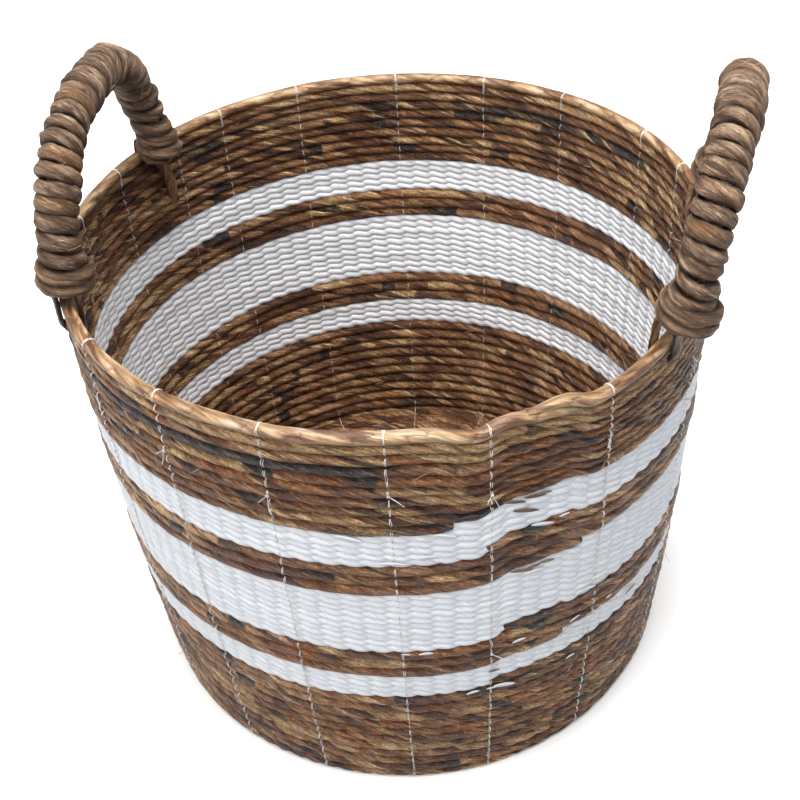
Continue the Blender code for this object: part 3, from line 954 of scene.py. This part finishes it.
# ==== Frayed ends =========================================
# Where one run of rope gives way to the next, cut ends of white yarn and of leaf lie flat on the wall. Dry
# fibres stand off the leaf rope and the handles.

draw = np.random.default_rng(81)


def places_near_splices(spread, count):
    """Places along the coil, in turns, near where its lower runs end, some of them a row off."""
    return [start + draw.uniform(-spread, spread) + draw.choice([-1, 0, 0, 1])
            for start in run_starts[1:7] for _ in range(count)]


def slivers(name, material, slot, starts, size_range, seed):
    """Flat pointed strips that lie on the wall near places along the coil, outside and inside."""
    draw = np.random.default_rng(seed)
    share = np.linspace(0, 1, 9)
    points, outward, half_heights, distances, breaks = [], [], [], [], []
    for start in starts:
        length = draw.uniform(*size_range)
        width = length * draw.uniform(0.09, 0.15)
        side = 1 if draw.uniform() < 0.6 else -1
        tilt = side * math.radians(draw.uniform(4, 26))
        step = min(max(round(start * STEPS), 0), len(turn) - 1)
        angles = coil_angle[step] - side * length * (share - 0.5) / RIM_RADIUS
        heights = (coil_height[step] + draw.choice([-1, 1]) * coil_half_height[step]
                   + length * (share - 0.5) * math.sin(tilt) * side)
        lift = draw.uniform(0.0002, 0.0016) * share ** 2
        breaks.append(len(points))
        points += list(around(wall_radius(heights) + side * (0.0042 + lift), angles, heights))
        outward += list(around(side, angles, 0))
        half_heights += list(width * np.sin(math.pi * (0.06 + 0.88 * share)) ** 0.7)
        distances += list(length * share + 0.1 * len(breaks))
    make_rope(name, points, outward, 0.00022, half_heights, (0.35, 0, 0.1), slot, along=distances,
              breaks=breaks, sides=6, strands=1, lay=10.0, crease=0.0, lumps=0.0, lump_length=0.01,
              seed=seed, material=material)


white_starts = places_near_splices(0.05, 7)
leaf_starts = places_near_splices(0.06, 6)
slivers("white_ends", white_rope, "white_rope", white_starts, (0.005, 0.015), 82)
slivers("leaf_ends", leaf_rope, "dark_rope", leaf_starts, (0.006, 0.016), 83)


# straw to brown
dry_fibre = speckled_material("dry_fibre", 0.55, 0.4, 60.0, 3.0, [
    (0.35, (0.075, 0.040, 0.020)), (0.52, (0.30, 0.19, 0.10)), (0.66, (0.60, 0.47, 0.31))], 0.0003, 0.5)


def hair(base, outward, heading, shortest, longest):
    """A fibre that leaves a surface along the rope and curls away from it."""
    heading = heading * draw.choice([-1, 1])
    length = draw.uniform(shortest, longest)
    share = np.linspace(0, 1, 6)
    curl = draw.uniform(-0.6, 0.6)
    away = length * (0.10 + draw.uniform(0, 0.35)) * share ** 1.6
    return (base + np.outer(share * length * math.cos(curl), heading) + np.outer(away, outward)
            + np.outer(share ** 2 * length * math.sin(curl), np.cross(outward, heading)))


leaf_steps = np.flatnonzero((half_width > 0.0036) & (coil_height > 0.014))
hairs = []
for _ in range(170):
    step = int(draw.choice(leaf_steps))
    side = 1 if draw.uniform() < 0.55 else -1
    heading = np.array([math.sin(coil_angle[step]), -math.cos(coil_angle[step]), draw.uniform(-0.3, 0.3)])
    base = around(coil_radius[step] + side * half_width[step] * 0.93, coil_angle[step],
                  coil_height[step] + coil_half_height[step] * draw.uniform(-0.5, 0.5))
    hairs.append(hair(base, around(side, coil_angle[step], 0), heading, 0.004, 0.014))
make_piece(path_mesh("wall_fibres", *joined(hairs)), thread, "dark_rope", radius=0.00016, sides=4,
           material=dry_fibre)

hairs = []
for sizes in HANDLES.values():
    arch = Arch(sizes)
    for _ in range(60):
        centre, heading, inner = arch.at(np.array([draw.uniform(0.01, arch.length - 0.01)]))
        bearing = draw.uniform(0, 2 * math.pi)
        outward = arch.across * math.cos(bearing) + inner[0] * math.sin(bearing)
        hairs.append(hair(centre[0] + outward * 0.0128, outward, np.cross(heading[0], outward), 0.003, 0.009))
make_piece(path_mesh("handle_fibres", *joined(hairs)), thread, "handle_wrap", radius=0.00014, sides=4,
           material=dry_fibre)


# ==== Studio ==============================================
# A plain pale floor, soft light from all round and a broad light overhead. The camera looks down into the
# basket from the front.

FLOOR_REACH = 6.0
floor_mesh = bpy.data.meshes.new("floor")
corners = [(x * FLOOR_REACH, y * FLOOR_REACH, 0) for x, y in ((-1, -1), (1, -1), (1, 1), (-1, 1))]
floor_mesh.from_pydata(corners, [], [(0, 1, 2, 3)])
floor = bpy.data.objects.new("floor", floor_mesh)
bpy.context.scene.collection.objects.link(floor)
floor.location.z = -0.0003
floor_material, floor_tree = new_material("pale_floor", 0.85, 0.1)
floor_tree.nodes["Principled BSDF"].inputs["Base Color"].default_value = (0.93, 0.93, 0.93, 1)
floor_mesh.materials.append(floor_material)
floor.visible_diffuse = False      # keeps the pale floor from glaring up at the wall
floor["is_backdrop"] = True

world = bpy.data.worlds.new("studio")
world.use_nodes = True
world.node_tree.nodes["Background"].inputs["Color"].default_value = (0.93, 0.96, 1.0, 1)
world.node_tree.nodes["Background"].inputs["Strength"].default_value = 0.55
bpy.context.scene.world = world

# Square lights that face the middle of the basket: name, place, side in metres, watts
LIGHTS = [("key", (-0.35, -1.5, 1.75), 1.9, 28), ("overhead", (0.0, 0.0, 2.6), 1.3, 90),
          ("near", (0.0, -0.25, 1.3), 0.5, 5), ("behind", (0.7, 1.6, 1.7), 1.4, 10)]
for name, place, size, power in LIGHTS:
    light = bpy.data.lights.new(name, "AREA")
    light.size = size
    light.energy = power
    light.color = (1.0, 0.99, 0.97)
    lamp = bpy.data.objects.new(name, light)
    lamp.location = place
    lamp.rotation_euler = (Vector((0, 0, 0.15)) - Vector(place)).to_track_quat("-Z", "Y").to_euler()
    lamp.visible_camera = False
    bpy.context.scene.collection.objects.link(lamp)
bpy.context.scene.view_settings.view_transform = "Standard"

FACING = math.radians(14)          # the camera stands this far round from the basket's own front
LOOK_DOWN = math.radians(40.6)
ROLL = math.radians(-4.44)
camera_data = bpy.data.cameras.new("camera")
camera_data.lens = 53.91
camera_data.sensor_width = 36
camera_data.shift_x = 0.0035
camera = bpy.data.objects.new("camera", camera_data)
bpy.context.scene.collection.objects.link(camera)
camera.matrix_world = (Matrix.Translation((0.1572, -0.6319, 0.7365)) @ Matrix.Rotation(FACING, 4, "Z")
                       @ Matrix.Rotation(math.pi / 2 - LOOK_DOWN, 4, "X") @ Matrix.Rotation(ROLL, 4, "Z"))
bpy.context.scene.camera = camera

low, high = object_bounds()
